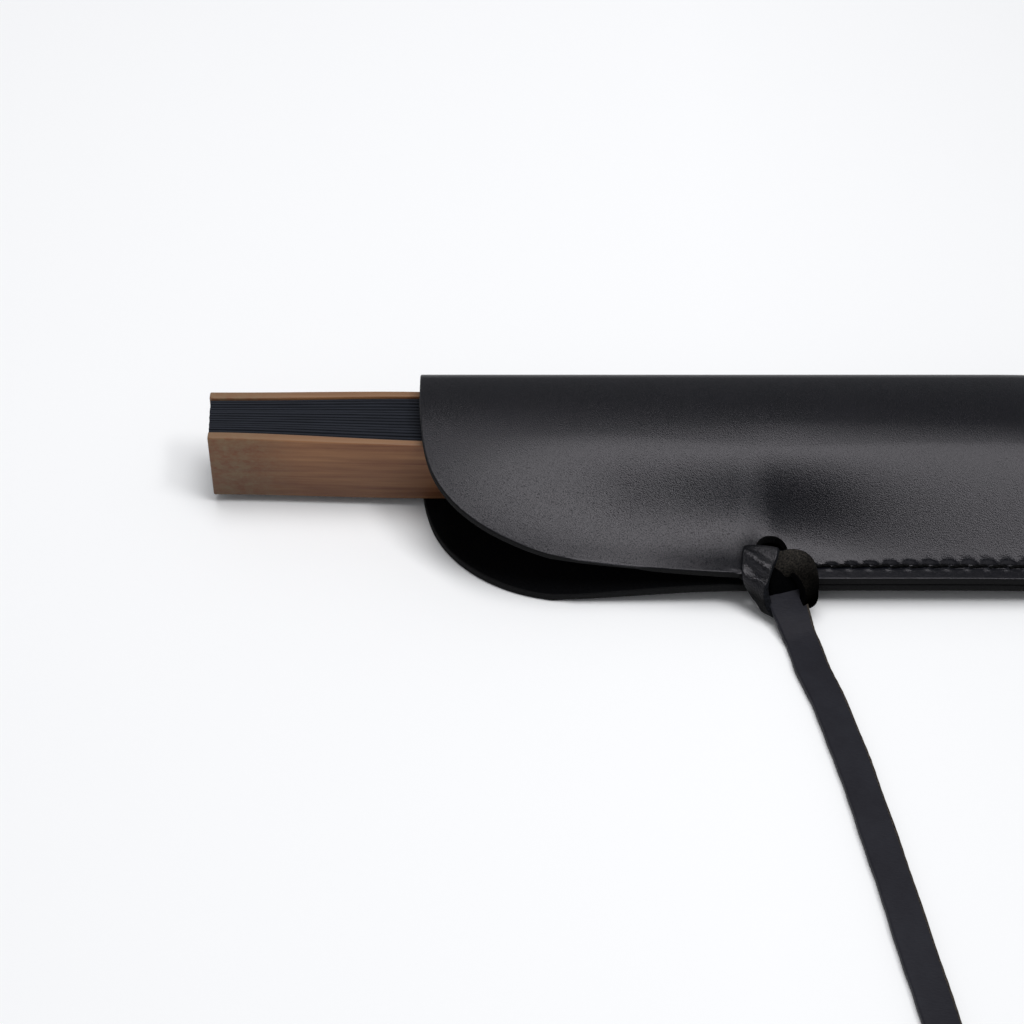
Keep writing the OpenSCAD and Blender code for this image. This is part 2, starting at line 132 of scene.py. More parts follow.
def smooth_rows(rows, per_span):
    """Rows of numbers with a smooth curve through them, some steps to each span."""
    rows = np.asarray(rows, float)
    ends = np.vstack([2 * rows[0] - rows[1], rows, 2 * rows[-1] - rows[-2]])
    out = []
    for a, b, c, d in zip(ends[:-3], ends[1:-2], ends[2:-1], ends[3:]):
        for k in np.arange(per_span) / per_span:
            out.append(b + 0.5 * k * (c - a + k * (2 * a - 5 * b + 4 * c - d
                                                   + k * (3 * (b - c) + d - a))))
    return np.array(out + [rows[-1]])


def new_mesh(name, points, faces, finish, sharp, face_finish=None):
    """A piece in the frame's metres, with its finishes and smooth faces between sharp edges."""
    mesh = bpy.data.meshes.new(name)
    mesh.from_pydata(placed(points).tolist(), [], faces)
    for look in finish:
        mesh.materials.append(look)
    if face_finish is not None:
        mesh.polygons.foreach_set("material_index", np.asarray(face_finish, np.int32))
    mesh.polygons.foreach_set("use_smooth", np.ones(len(mesh.polygons), bool))
    mesh.set_sharp_from_angle(angle=math.radians(sharp))
    mesh.validate()
    piece = bpy.data.objects.new(name, mesh)
    scene.collection.objects.link(piece)
    return piece


def ring_quads(n, m):
    """The faces between n closed rings of m points each."""
    return [(i * m + j, i * m + (j + 1) % m, (i + 1) * m + (j + 1) % m, (i + 1) * m + j)
            for i in range(n - 1) for j in range(m)]


def strap_section(steps):
    """A flat strap's outline in half widths and half thicknesses: crowned face, eased corners."""
    face = np.linspace(0.93, -0.93, steps)
    top = [(u, 1.0 - 0.10 * u ** 4) for u in face]
    side = [(-0.985, 0.72), (-1.0, 0.3), (-1.0, -0.35), (-0.985, -0.8)]
    under = [(-u, -1.0) for u in face]
    return np.array(top + side + under + [(-u, v) for u, v in side[::-1]])


def strap_mesh(name, centres, faces_up, widths, finish, steps, shape=None):
    """A flat strap swept along its centre line, with finishes for its face, back and cut edge."""
    centres = np.asarray(centres, float)
    ahead = unit(np.gradient(centres, axis=0))
    side = unit(np.cross(ahead, faces_up))
    face = np.cross(side, ahead)
    section = strap_section(steps)
    n, m = len(centres), len(section)
    u = section[:, 0][None, :, None] * side[:, None, :] * (np.asarray(widths)[:, None, None] / 2)
    v = section[:, 1][None, :, None] * face[:, None, :] * (LACE_T / 2)
    points = centres[:, None, :] + u + v
    if shape is not None:
        points = shape(points, section, side, face)
    middles = (section + np.roll(section, -1, 0)) / 2
    marks = [2 if abs(a) > 0.94 else (0 if b > 0 else 1) for a, b in middles] * (n - 1)
    quads = ring_quads(n, m)
    quads += [tuple(range(m - 1, -1, -1)), tuple((n - 1) * m + j for j in range(m))]
    return new_mesh(name, points.reshape(-1, 3), quads, finish, 60, marks + [2, 2])


def wire(tree, source, socket):
    """Links an output, or a node's first one, to a socket, or sets the socket to a value."""
    if isinstance(source, bpy.types.Node):
        source = source.outputs[0]
    if isinstance(source, bpy.types.NodeSocket):
        tree.links.new(source, socket)
    else:
        socket.default_value = source


def node_maker(tree, family="ShaderNode"):
    """A shortcut that adds a node to a tree, sets it, and wires what feeds it.

    What feeds it is given in the order of its sockets, or under a socket's name."""
    def add(kind, settings=None, *feeds, **named):
        node = tree.nodes.new(family + kind)
        for key, value in (settings or {}).items():
            if hasattr(node, key):
                setattr(node, key, value)
            else:
                node.inputs[key].default_value = value
        for place, source in enumerate(feeds):
            wire(tree, source, node.inputs[place])
        for key, source in named.items():
            wire(tree, source, node.inputs[key.replace("_", " ")])
        return node

    return add


def node_group(name, family, inputs, outputs):
    """A new node group: its tree, its node maker, what it takes and what it gives."""
    tree = bpy.data.node_groups.new(name, family + "NodeTree")
    for way, sockets in (("INPUT", inputs), ("OUTPUT", outputs)):
        for label, kind in sockets.items():
            tree.interface.new_socket(label, in_out=way, socket_type="NodeSocket" + kind)
    take, give = tree.nodes.new("NodeGroupInput"), tree.nodes.new("NodeGroupOutput")
    return tree, node_maker(tree, family + "Node"), take.outputs, give.inputs


def material(name, rough, specular=0.5, glint=(1, 1, 1, 1)):
    """A new finish, with shortcuts that add nodes, feed its shader and run through colours."""
    made = bpy.data.materials.new(name)
    made.use_nodes = True
    tree = made.node_tree
    add = node_maker(tree)
    shader = tree.nodes["Principled BSDF"]

    def feed(socket, source):
        wire(tree, source, shader.inputs[socket])

    def ramp(source, *stops):
        run = add("ValToRGB", None, source)
        for element, (place, colour) in zip(run.color_ramp.elements, stops):
            element.position = place
            element.color = colour
        return run

    feed("Roughness", rough)
    feed("Specular IOR Level", specular)
    feed("Specular Tint", glint)
    return made, add, feed, ramp


def tone(red, green, blue):
    """An sRGB colour of 0 to 255 as the linear colour that a shader takes."""
    c = np.array((red, green, blue)) / 255
    return (*np.where(c < 0.04045, c / 12.92, ((c + 0.055) / 1.055) ** 2.4), 1.0)


def grain_group():
    """Leather's grain: fine pebbles with creases between them, and a slow mottle in the dyed colour.
    """
    tree, add, take, give = node_group(
        "hide grain", "Shader",
        {"Vector": "Vector", "Pebbles per metre": "Float", "Stretch": "Float"},
        {"Height": "Float", "Mottle": "Float"})
    where, pebbles = take["Vector"], take["Pebbles per metre"]
    aspect = add("CombineXYZ", {"Y": 1.0, "Z": 1.0}, X=take["Stretch"])
    squeezed = add("VectorMath", {"operation": "MULTIPLY"}, where, aspect)
    pebble = add("TexVoronoi", {"feature": "F1"}, Vector=squeezed, Scale=pebbles)
    creases = add("Math", {"operation": "MULTIPLY"}, pebbles, 0.7)
    crease = add("TexNoise", {"Detail": 4.0, "Roughness": 0.65}, Vector=squeezed, Scale=creases)
    height = add("Math", {"operation": "MULTIPLY_ADD"}, pebble, -1.4, crease)
    cloud = add("TexNoise", {"Scale": 90.0, "Detail": 6.0, "Roughness": 0.7}, Vector=where)
    wire(tree, height, give["Height"])
    wire(tree, cloud, give["Mottle"])
    return tree


hide_grain = grain_group()
GRAIN_GLINT = (0.98, 0.945, 1, 1)


def smooth_leather(name, dark, light, pebbles, depth, rough, rough_spread, stretch=1.0,
                   specular=0.17):
    """The grain side: dyed black, softly glossy, with a fine pebble."""
    made, add, feed, ramp = material(name, rough, specular, GRAIN_GLINT)
    where = add("TexCoord").outputs["Object"]
    grain = add("Group", {"node_tree": hide_grain, "Pebbles per metre": pebbles,
                          "Stretch": stretch}, Vector=where)
    height = grain.outputs["Height"]
    feed("Base Color", ramp(grain.outputs["Mottle"], (0.3, dark), (0.7, light)))
    gloss = add("MapRange", {"To Min": rough - rough_spread, "To Max": rough + rough_spread},
                height)
    feed("Roughness", gloss)
    relief = add("Bump", {"Strength": 1.0, "Distance": depth}, Height=height)
    feed("Normal", relief)
    return made


def suede_leather(name, dark, light, fibres, depth, fleck=0.72, specular=0.2):
    """The flesh side or a cut edge: short matted fibres with a few pale flecks."""
    made, add, feed, ramp = material(name, 0.92, specular)
    where = add("TexCoord").outputs["Object"]
    fuzz = add("TexNoise", {"Scale": fibres, "Detail": 8.0, "Roughness": 0.75}, Vector=where)
    feed("Base Color", ramp(fuzz, (0.42, dark), (fleck, light)))
    relief = add("Bump", {"Strength": 1.0, "Distance": depth}, Height=fuzz)
    feed("Normal", relief)
    return made


lace_face = smooth_leather("lace_face", tone(25, 25, 31), tone(34, 35, 41), 2600, 0.00002,
                           0.56, 0.05, 0.4, specular=0.12)
lace_back = suede_leather("lace_back", tone(14, 13, 14), tone(74, 64, 55), 2600, 0.0002)
lace_cut = suede_leather("lace_cut", tone(12, 13, 15), tone(92, 82, 72), 3200, 0.00012, 0.7)

coil_rings = math.ceil(COIL_STATIONS * COIL_TURNS)
coil_turn = COIL_TURNS * np.arange(coil_rings + 1) / coil_rings
coil_angle = COIL_START + 2 * math.pi * coil_turn
coil_r = COIL_RADIUS - COIL_PITCH * coil_turn
coil_middle = np.array(TAIL_POINTS[-1]) - COIL_RADIUS * np.array(
    (math.cos(COIL_START), math.sin(COIL_START), 0))
coil_points = coil_middle + np.stack(
    [coil_r * np.cos(coil_angle), coil_r * np.sin(coil_angle), 0 * coil_r], 1)
lace_route = by_knot(np.vstack([smooth_rows(TAIL_POINTS, 6)[:-1], smooth_rows(coil_points, 4)]))
lace_length = np.linalg.norm(np.diff(lace_route, axis=0), axis=1).sum()
lace_along = np.linspace(0, lace_length, len(lace_route))
lace_widths = LACE_W + LACE_SPREAD * (
    1 + LACE_FLARE * (1 - ease(LACE_FLARE_FROM, LACE_FLARE_TO, lace_along)))
lace_up = mix(TAIL_LEAN, np.array((0, 0, 1.0)),
              ease(TAIL_DROP[0][2], LACE_LIE, lace_route[:, 2:]))


def lace_wear(points, section, side, face):
    """Cut by hand: the width wanders a little and the edges are not quite straight."""
    run = lace_along[:, None]
    cut = np.abs(section[:, 0])[None, :] > 0.92
    left = np.sin(run * 0.31) * 0.05 + np.sin(run * 1.7 + 1) * 0.03
    right = np.sin(run * 0.23 + 2) * 0.08 + np.sin(run * 2.9) * 0.045
    push = np.where(section[:, 0][None, :] < 0, -left, right) * cut
    return points + push[:, :, None] * side[:, None, :]


def turn_grain(strap):
    """The grain side turns down over the lace's left edge, and the right edge shows the cut."""
    section = strap_section(LACE_STEPS)
    for strip in strap.data.polygons[:-2]:
        place = strip.index % len(section)
        u, v = (section[place] + section[(place + 1) % len(section)]) / 2
        if v > -0.6 and abs(u) > 0.88:
            strip.material_index = 0 if u > 0 else 2


lace = strap_mesh("lace", lace_route, lace_up, lace_widths, [lace_face, lace_back, lace_cut],
                  LACE_STEPS, lace_wear)
turn_grain(lace)
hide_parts("lace_tail", "lace_coil")
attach(lace, "sleeve")


# Sleeve
# One sheet of firm black leather, folded along the back. Both flaps have a large round corner
# at the mouth; from the knot on, the two edges are stitched, and the end is pressed flat.
SLEEVE_LEN = 250.0
LEATHER_T = 1.95
CORNER_R = 31.5
CORNER_STRETCH = 1.08
MOUTH_BACK = 1.2
END_CORNER_R = 6.0
FOLD_R = 2.4
END_TAPER = 35.0
HANDLE_ROOM = 14.5
SEAM_MARGIN = 3.2
HOLE_IN = 7.3
HOLE_SIDE = -1.5
HOLE_R = 3.6
GUARD_TIP_H = 17.8
FAN_SWELL_T = 18.2
FAN_Z = LEATHER_T + 0.3
TOP_MID = FAN_Z + GUARD_TIP_H + 0.32 + LEATHER_T / 2
HANDLE_MID = LEATHER_T * 1.5 + HANDLE_ROOM
LOW_MID = LEATHER_T / 2
FLAT_MID = 1.5 * LEATHER_T + 0.1
BACK_MID = FAN_SWELL_T / 2 + 1.15 + LEATHER_T / 2
SHOULDER_Y = -FAN_SWELL_T / 2 - 0.1
END_LINE = SLEEVE_LEN - SEAM_MARGIN
SEAM_RISE = 2 * LACE_T
RISE_IN = 27.0
CROWN = 0.95
CROWN_Y = 5.0
TOP_FRONT_Y = SHOULDER_Y + 1.2
PULL_X = KNOT_X - 4
PULL_BACK = 0.6
PULL_SWEEP = 12.0
PULL_LIFT = 13.0
EDGE_LIFT = 8.0
EDGE_TILT = 12.0
SEAM_TILT = 27.0
PULL_TILT = 4.0
SEWN_TILT = 3.0
DIP_TILT = 2.2
DIP_X = KNOT_X - 5
DIP_W = 8.0
EDGE_R = 0.32
SLEEVE_SHARP = 50

# What changes along the sleeve: where it starts and ends to change, and its two values.
TOP_HEIGHT = (130, 205, TOP_MID, HANDLE_MID)
BACK_FLARE = (END_LINE - 1.5 * END_TAPER, END_LINE, 0, 10.5)
PULL_WIDTH = (KNOT_X - 24, KNOT_X + 20, 36, 25)
FLAP_TILT = (-15, 48, 7, 23.5)
FLAP_REACH = (20, 76, 29.1, 32.6)
TOP_SWEEP = (10, 45, 10, 6.5)
RISE_BEGIN = (22, KNOT_X - 7.5, 0, 1)
RISE_END = (KNOT_X + 36, END_LINE, 1, 0)
SEWN = (KNOT_X - 9, KNOT_X - 1, 0, 1)
SEAM_SLOPE = (0, 60, 0, 1)


def along(x, change):
    """The value at x of something that changes along the sleeve."""
    start, stop, first, last = change
    return mix(first, last, ease(start, stop, x))


def bump(x, middle, width):
    return np.exp(-((x - middle) / width) ** 2)


def cosd(a):
    return np.cos(np.radians(a))


def sind(a):
    return np.sin(np.radians(a))


def circle_in(r, d):
    """How far a round corner's outline is drawn in at a distance from the edge."""
    return r - math.sqrt(r * r - (r - d) ** 2) if d < r else 0.0


def flat_k(x):
    """How far the sleeve is pressed flat: 0 over the fan, 1 at the end's stitches."""
    return ease(END_LINE - END_TAPER, END_LINE, x)


def top_z(x):
    return mix(along(x, TOP_HEIGHT), FLAT_MID, flat_k(x))


def pull(x):
    """How strongly the knot pulls the flap down, most a little before the knot."""
    return bump(x, PULL_X, along(x, PULL_WIDTH))


def top_front(x):
    """Where the top ends and the flap begins, further back over the knot's pull."""
    return TOP_FRONT_Y + PULL_BACK * pull(x)


def crown(x, y):
    """The top is a little domed over the fan, highest behind its middle."""
    return CROWN * (1 - flat_k(x)) * (1 - ((y - CROWN_Y) / (CROWN_Y - top_front(x))) ** 2)


def back_y(x):
    return BACK_MID + along(x, BACK_FLARE)


def bend_r(x):
    return np.minimum(FOLD_R, (top_z(x) - LOW_MID) / 2)


def rise(x, d):
    """How high the layers stand over the lace that passes under the seam."""
    return SEAM_RISE * along(x, RISE_BEGIN) * along(x, RISE_END) * (1 - ease(0, RISE_IN, d))


def stitched(x):
    """How far the flap's edge has come down to the seam: 0 at the mouth, 1 from the knot on."""
    return along(x, SEWN)


def upper_edge(x):
    """The edge of the upper flap, which hangs free by the mouth and is sewn from the knot on."""
    tilt, reach = along(x, FLAP_TILT), along(x, FLAP_REACH)
    y = mix(SHOULDER_Y - reach * cosd(tilt), -SEAM_REACH, stitched(x))
    return y, mix(top_z(x) - reach * sind(tilt), FLAT_MID + rise(x, 0), stitched(x))


def edge_tilt(x):
    """The flap's slope where it leaves its margin, flattest by the knot."""
    free = mix(EDGE_TILT, SEAM_TILT * (1 - flat_k(x)), along(x, SEAM_SLOPE))
    return mix(free, PULL_TILT - DIP_TILT * bump(x, DIP_X, DIP_W), pull(x))


def margin_tilt(x):
    return mix(edge_tilt(x), SEWN_TILT * (1 - flat_k(x)), stitched(x))


def upper_point(x, d):
    """The upper flap at a distance from its edge: a straight margin, then a curve to the top."""
    y, z = upper_edge(x)
    m = margin_tilt(x)
    if d <= SEAM_MARGIN:
        return y + d * cosd(m), z + d * sind(m)
    ey, ez = y + SEAM_MARGIN * cosd(m), z + SEAM_MARGIN * sind(m)
    ay, az = top_front(x), top_z(x)
    sweep = mix(along(x, TOP_SWEEP), PULL_SWEEP, pull(x)) * (1 - 0.5 * flat_k(x))
    droop = sweep * 2 * CROWN * (1 - flat_k(x)) / (CROWN_Y - top_front(x))
    lift = mix(EDGE_LIFT, PULL_LIFT, pull(x))
    cy, cz = ey + lift * cosd(edge_tilt(x)), ez + lift * sind(edge_tilt(x))
    length = np.maximum(np.hypot(ay - ey, az - ez) - 0.2, CORNER_R - SEAM_MARGIN + 0.5)
    k = 1 - (d - SEAM_MARGIN) / length
    w = ((1 - k) ** 3, 3 * k * (1 - k) ** 2, 3 * k * k * (1 - k), k ** 3)
    return (ay * w[0] + (ay - sweep) * w[1] + cy * w[2] + ey * w[3],
            az * w[0] + (az - droop) * w[1] + cz * w[2] + ez * w[3])


def lower_point(x, d):
    return -SEAM_REACH + d + 0 * x, LOW_MID + rise(x, d)


def under_point(x, k):
    """The lower layer between its flap and the bend at the back."""
    return mix(-SEAM_REACH + CORNER_R, back_y(x) - bend_r(x), k), LOW_MID + 0 * x


def back_point(x, turn):
    """The bend at the back, from -90 degrees on the table to 90 degrees at the top."""
    r = bend_r(x)
    low = LOW_MID + r
    high = top_z(x) + crown(x, back_y(x) - r) - r
    return back_y(x) - r + r * cosd(turn), (low if turn < 0 else high) + r * sind(turn)


def top_point(x, k):
    """The domed top, from the bend at the back to where the flap begins."""
    y = mix(back_y(x) - bend_r(x), top_front(x), k)
    return y, top_z(x) + crown(x, y)


FLAP_STEPS = np.concatenate([
    [0, 0.5, 0.95, 1.4, 1.85, 2.2, 2.5, 2.8, 3.1, 3.4, 3.7, 4.0, 4.3, 4.6, 4.9, 5.2, 5.6, 6.2],
    np.linspace(6.2, CORNER_R, 21)[1:]])
UNDER_STEPS = 8
BEND_STEPS = 9
TOP_STEPS = 11


def sheet_columns():
    """Every column of the sheet, from the lower edge round the back to the upper edge.

    Each is its distance from the edge, as far as a corner reaches, its curve and where on it."""
    columns = [(d, lower_point, d) for d in FLAP_STEPS]
    columns += [(CORNER_R, under_point, k) for k in np.linspace(0, 1, UNDER_STEPS + 1)[1:-1]]
    quarter = 90 * np.arange(BEND_STEPS + 1) / BEND_STEPS
    columns += [(CORNER_R, back_point, turn) for turn in [*(quarter[:-1] - 90), *quarter]]
    columns += [(CORNER_R, top_point, k) for k in np.linspace(0, 1, TOP_STEPS + 1)[1:-1]]
    return columns + [(d, upper_point, d) for d in FLAP_STEPS[::-1]]


STITCH_PITCH = 4.32
STITCH_FIRST = 86.4
STITCH_COUNT = 37
STITCH_LINE = 3.55
DENT_DEPTH = 0.5
DENT_HALF = 1.35
DENT_BAND = (3.3, 3.8, 4.05, 4.8)
NICK_HEIGHT = 0.2
NICK_AT = (-0.3, 2.75)
NICK_SIZE = (0.55, 0.35)
GROOVE_DEPTH = 0.22
GROOVE_W = 0.42
GROOVE_START = (84, 86)
GROOVE_STOP = (SLEEVE_LEN - 1, END_LINE - 2)
END_GROOVE_DEPTH = 0.25
END_GROOVE_W = 0.6


def stitch_dents(grid):
    """Depth of the awl's marks: an oval dent inside each stitch and a small raised nick outside."""
    x, y = grid[..., 0], grid[..., 1] + SEAM_REACH
    k = np.clip(np.round((x - STITCH_FIRST) / STITCH_PITCH), 0, STITCH_COUNT - 1)
    across = x - STITCH_FIRST - STITCH_PITCH * k
    start, full, fade, stop = DENT_BAND
    dent = np.exp(-(np.abs(across) / DENT_HALF) ** 4) * ease(stop, fade, y) * ease(start, full, y)
    nick = np.exp(-((across - NICK_AT[0]) / NICK_SIZE[0]) ** 2
                  - ((y - NICK_AT[1]) / NICK_SIZE[1]) ** 2)
    groove = bump(y, STITCH_LINE, GROOVE_W) * ease(*GROOVE_START, x) * ease(*GROOVE_STOP, x)
    end_groove = bump(x, END_LINE, END_GROOVE_W) * ease(1.5, 3.5, y)
    return (DENT_DEPTH * dent - NICK_HEIGHT * nick + GROOVE_DEPTH * groove
            + END_GROOVE_DEPTH * end_groove)


def rim_rows(middle, normal, outward, bend=4):
    """Points round the sheet's cut edge, from the grain face over the rounded corners."""
    h, r = LEATHER_T / 2, EDGE_R
    turns = np.radians(np.linspace(0, 90, bend + 1))
    upper = [(-r + r * math.sin(a), h - r + r * math.cos(a)) for a in turns]
    wall = [(0.03, 0.3 * h), (-0.03, -0.2 * h)]
    lower = [(-r + r * math.cos(a), -h + r - r * math.sin(a)) for a in turns]
    return [middle + e * outward + n * normal for e, n in upper[1:] + wall + lower[:-1]]


def sheet_middle():
    """The sheet's middle surface: rows from the mouth to the end, columns round the fan."""
    columns = sheet_columns()
    share = np.concatenate([np.linspace(0, 0.6, 241), np.linspace(0.6, 1, 61)[1:]])
    middle = np.zeros((len(share), len(columns), 3))
    for j, (d, curve, at) in enumerate(columns):
        set_back = MOUTH_BACK * ease(2, -16, curve(0.0, at)[0])
        start = set_back + CORNER_STRETCH * circle_in(CORNER_R, d)
        x = mix(start, SLEEVE_LEN - circle_in(END_CORNER_R, d), share)
        middle[:, j] = np.stack([x, *curve(x, at)], 1)
    return middle


def rim_loop(n, m):
    """Rows and columns of the rim: the lower edge, the end, the upper edge and the mouth."""
    return ([(i, 0) for i in range(n)] + [(n - 1, j) for j in range(1, m)]
            + [(i, m - 1) for i in range(n - 2, -1, -1)] + [(0, j) for j in range(m - 2, 0, -1)])


def sleeve_mesh():
    """The sheet's two faces and its cut edge, marked 0 for grain, 1 for flesh and 2 for cut."""
    middle = sheet_middle()
    normal = unit(np.cross(np.gradient(middle, axis=1), np.gradient(middle, axis=0)))
    n, m = middle.shape[:2]
    loop = rim_loop(n, m)
    li, lj = np.array(loop).T
    rim_mid, rim_normal = middle[li, lj], normal[li, lj]
    along_rim = np.roll(rim_mid, -1, 0) - np.roll(rim_mid, 1, 0)
    outward = unit(np.cross(rim_normal, along_rim))
    outer = middle + normal * LEATHER_T / 2
    inner = middle - normal * LEATHER_T / 2
    outer[li, lj] -= EDGE_R * outward
    inner[li, lj] -= EDGE_R * outward
    flap = (np.arange(m) < len(FLAP_STEPS)) | (np.arange(m) >= m - len(FLAP_STEPS))
    outer -= normal * (stitch_dents(outer) * flap[None, :])[..., None]
    rims = rim_rows(rim_mid, rim_normal, outward)
    points = np.vstack([outer.reshape(-1, 3), inner.reshape(-1, 3)] + rims)
    faces, marks = [], []
    for side in (0, 1):
        for i in range(n - 1):
            for j in range(m - 1):
                a = side * n * m + i * m + j
                quad = (a, a + m, a + m + 1, a + 1)
                faces.append(quad if side == 0 else quad[::-1])
                marks.append(side)
    first = [i * m + j for i, j in loop]
    rows = [first] + [list(range(2 * n * m + r * len(loop), 2 * n * m + (r + 1) * len(loop)))
                      for r in range(len(rims))] + [[n * m + k for k in first]]
    for r, (a, b) in enumerate(zip(rows[:-1], rows[1:])):
        for k in range(len(loop)):
            q = (k + 1) % len(loop)
            faces.append((a[k], b[k], b[q], a[q]))
            marks.append(0 if r < 2 else 2)
    return points, faces, marks


sleeve_grain = smooth_leather("sleeve_grain", tone(6, 8, 13), tone(10, 11, 17), 4200, 0.00002,
                              0.33, 0.04)

SHEEN = 0.318
SHEEN_GRAIN = 0.27
SHEEN_ALONG = (-0.03, 0.006, 0.95, 0.35)
SHEEN_ACROSS = (-0.013, 0.006, 1, 0.15)


def break_sheen(made):
    """The grain breaks the sheen most on the flap by the mouth; the stretched top is even.

    Each fade holds where it starts and ends, in the frame's metres, and its two amounts."""
    tree = made.node_tree
    add = node_maker(tree)
    place = add("SeparateXYZ", None, tree.nodes["Texture Coordinate"].outputs["Object"])
    shown = 1.0
    for axis, fade in (("X", SHEEN_ALONG), ("Y", SHEEN_ACROSS)):
        part = add("MapRange", {"interpolation_type": "SMOOTHSTEP"}, place.outputs[axis], *fade)
        shown = add("Math", {"operation": "MULTIPLY"}, part, shown)
    grain = add("Math", {"operation": "ADD"}, tree.nodes["Group"].outputs["Height"], SHEEN_GRAIN)
    broken = add("Math", {"operation": "MULTIPLY"}, shown, grain)
    sheen = add("Math", {"operation": "MULTIPLY_ADD"}, broken, SHEEN, SHEEN)
    wire(tree, sheen, tree.nodes["Principled BSDF"].inputs["Specular IOR Level"])


break_sheen(sleeve_grain)
sleeve_flesh = suede_leather("sleeve_flesh", tone(2, 2, 4), tone(8, 9, 11), 1500, 0.0002,
                             specular=0.08)
sleeve_cut = suede_leather("sleeve_cut", tone(3, 3, 4), tone(13, 13, 15), 2600, 0.0002)
points, faces, marks = sleeve_mesh()
sleeve = new_mesh("leather_sleeve", points, faces, [sleeve_grain, sleeve_flesh, sleeve_cut],
                  SLEEVE_SHARP, marks)

# The hole for the lace is punched through both layers, a little in from the seam's edge.
PUNCH_LEN = 14.0
PUNCH_Z = 6.0
bpy.ops.mesh.primitive_cylinder_add(
    vertices=48, radius=HOLE_R * MM, depth=PUNCH_LEN * MM,
    location=placed((KNOT_X + HOLE_SIDE, -SEAM_REACH + HOLE_IN, PUNCH_Z)))
punch = bpy.context.object
punch.data.materials.append(sleeve_cut)
hole = sleeve.modifiers.new("punched hole", "BOOLEAN")
hole.operation = "DIFFERENCE"
hole.object = punch
hole.material_mode = "TRANSFER"


def plain_mesh(piece):
    """The piece's mesh as its modifiers leave it, with the modifiers gone."""
    made = bpy.data.meshes.new_from_object(piece.evaluated_get(bpy.context.evaluated_depsgraph_get()))
    piece.modifiers.clear()
    old, piece.data = piece.data, made
    made.name = piece.name
    if old.users == 0:
        bpy.data.meshes.remove(old)


plain_mesh(sleeve)
bpy.data.objects.remove(punch)
sleeve.data.set_sharp_from_angle(angle=math.radians(SLEEVE_SHARP))
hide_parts("sleeve")
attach(sleeve, "sleeve")


# Stitching
# Black waxed thread, saddle stitched by hand through slanted awl holes. Each stitch climbs a
# little from hole to hole, and the thread shows on both faces of the seam and of the end.
THREAD_T = 0.68
STITCH_SLANT = 0.3
STITCH_SHAPE = np.array([(0, -0.6), (0.07, -0.12), (0.17, 0.12), (0.33, 0.24), (0.5, 0.27),
                         (0.67, 0.24), (0.83, 0.12), (0.93, -0.12), (1, -0.6)])
STITCH_SINK = 0.12
UNDER_SINK = 0.1


def thread_tree():
    """Geometry nodes that draw a round thread along every polyline they are given."""
    tree, add, take, give = node_group(
        "waxed thread", "Geometry",
        {"Lines": "Geometry", "Thickness": "Float", "Sides": "Int", "Finish": "Material"},
        {"Thread": "Geometry"})
    half = node_maker(tree)("Math", {"operation": "MULTIPLY"}, take["Thickness"], 0.5)
    line = add("MeshToCurve", Mesh=take["Lines"])
    ring = add("CurvePrimitiveCircle", Resolution=take["Sides"], Radius=half)
    sweep = add("CurveToMesh", {"Fill Caps": True}, Curve=line, Profile_Curve=ring)
    smooth = add("SetShadeSmooth", Geometry=sweep)
    real = add("RealizeInstances", Geometry=smooth)
    paint = add("SetMaterial", Geometry=real, Material=take["Finish"])
    wire(tree, paint, give["Thread"])
    return tree


waxed_thread = thread_tree()


def grow(piece, tree, values):
    """Runs a node tree on a piece with its named inputs set, and keeps the plain mesh."""
    works = piece.modifiers.new(tree.name, "NODES")
    works.node_group = tree
    for item in tree.interface.items_tree:
        if item.in_out == "INPUT" and item.name in values:
            works[item.identifier] = values[item.name]
    plain_mesh(piece)


def thread_piece(name, lines):
    """One piece of stitching from several polylines."""
    mesh = bpy.data.meshes.new(name)
    starts = np.cumsum([0] + [len(line) for line in lines])
    edges = [(a + i, a + i + 1) for a, line in zip(starts, lines) for i in range(len(line) - 1)]
    mesh.from_pydata(placed(np.vstack(lines)).tolist(), edges, [])
    piece = bpy.data.objects.new(name, mesh)
    scene.collection.objects.link(piece)
    grow(piece, waxed_thread, {"Thickness": THREAD_T * MM, "Sides": 10, "Finish": thread_wax})
    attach(piece, "sleeve")
    return piece


def thread_finish():
    """Twisted black thread, stiff with wax."""
    made, add, feed, ramp = material("thread_wax", 0.75, 0.05)
    where = add("TexCoord").outputs["Object"]
    twist = add("TexWave", {"Scale": 420.0, "Distortion": 1.2, "bands_direction": "DIAGONAL"},
                Vector=where).outputs["Fac"]
    feed("Base Color", ramp(twist, (0, tone(3, 3, 4)), (1, tone(12, 12, 13))))
    ply = add("Bump", {"Strength": 0.8, "Distance": 0.0001}, Height=twist)
    feed("Normal", ply)
    return made


thread_wax = thread_finish()


def seam_surface(x, d, on_top):
    """A point on one face of the seam, at a distance from its edge."""
    y, z = upper_point(x, d) if on_top else lower_point(x, d)
    return np.array((x, y, z + LEATHER_T / 2 if on_top else max(z - LEATHER_T / 2, 0.2)))


def seam_line(on_top):
    """The thread's line along one face of the seam."""
    points = []
    for k in range(STITCH_COUNT - 1):
        for share, high in STITCH_SHAPE:
            at = seam_surface(STITCH_FIRST + STITCH_PITCH * (k + share),
                              STITCH_LINE + STITCH_SLANT * (2 * share - 1), on_top)
            at[2] += (high - STITCH_SINK) if on_top else -min(high, UNDER_SINK)
            points.append(at)
    return np.array(points)


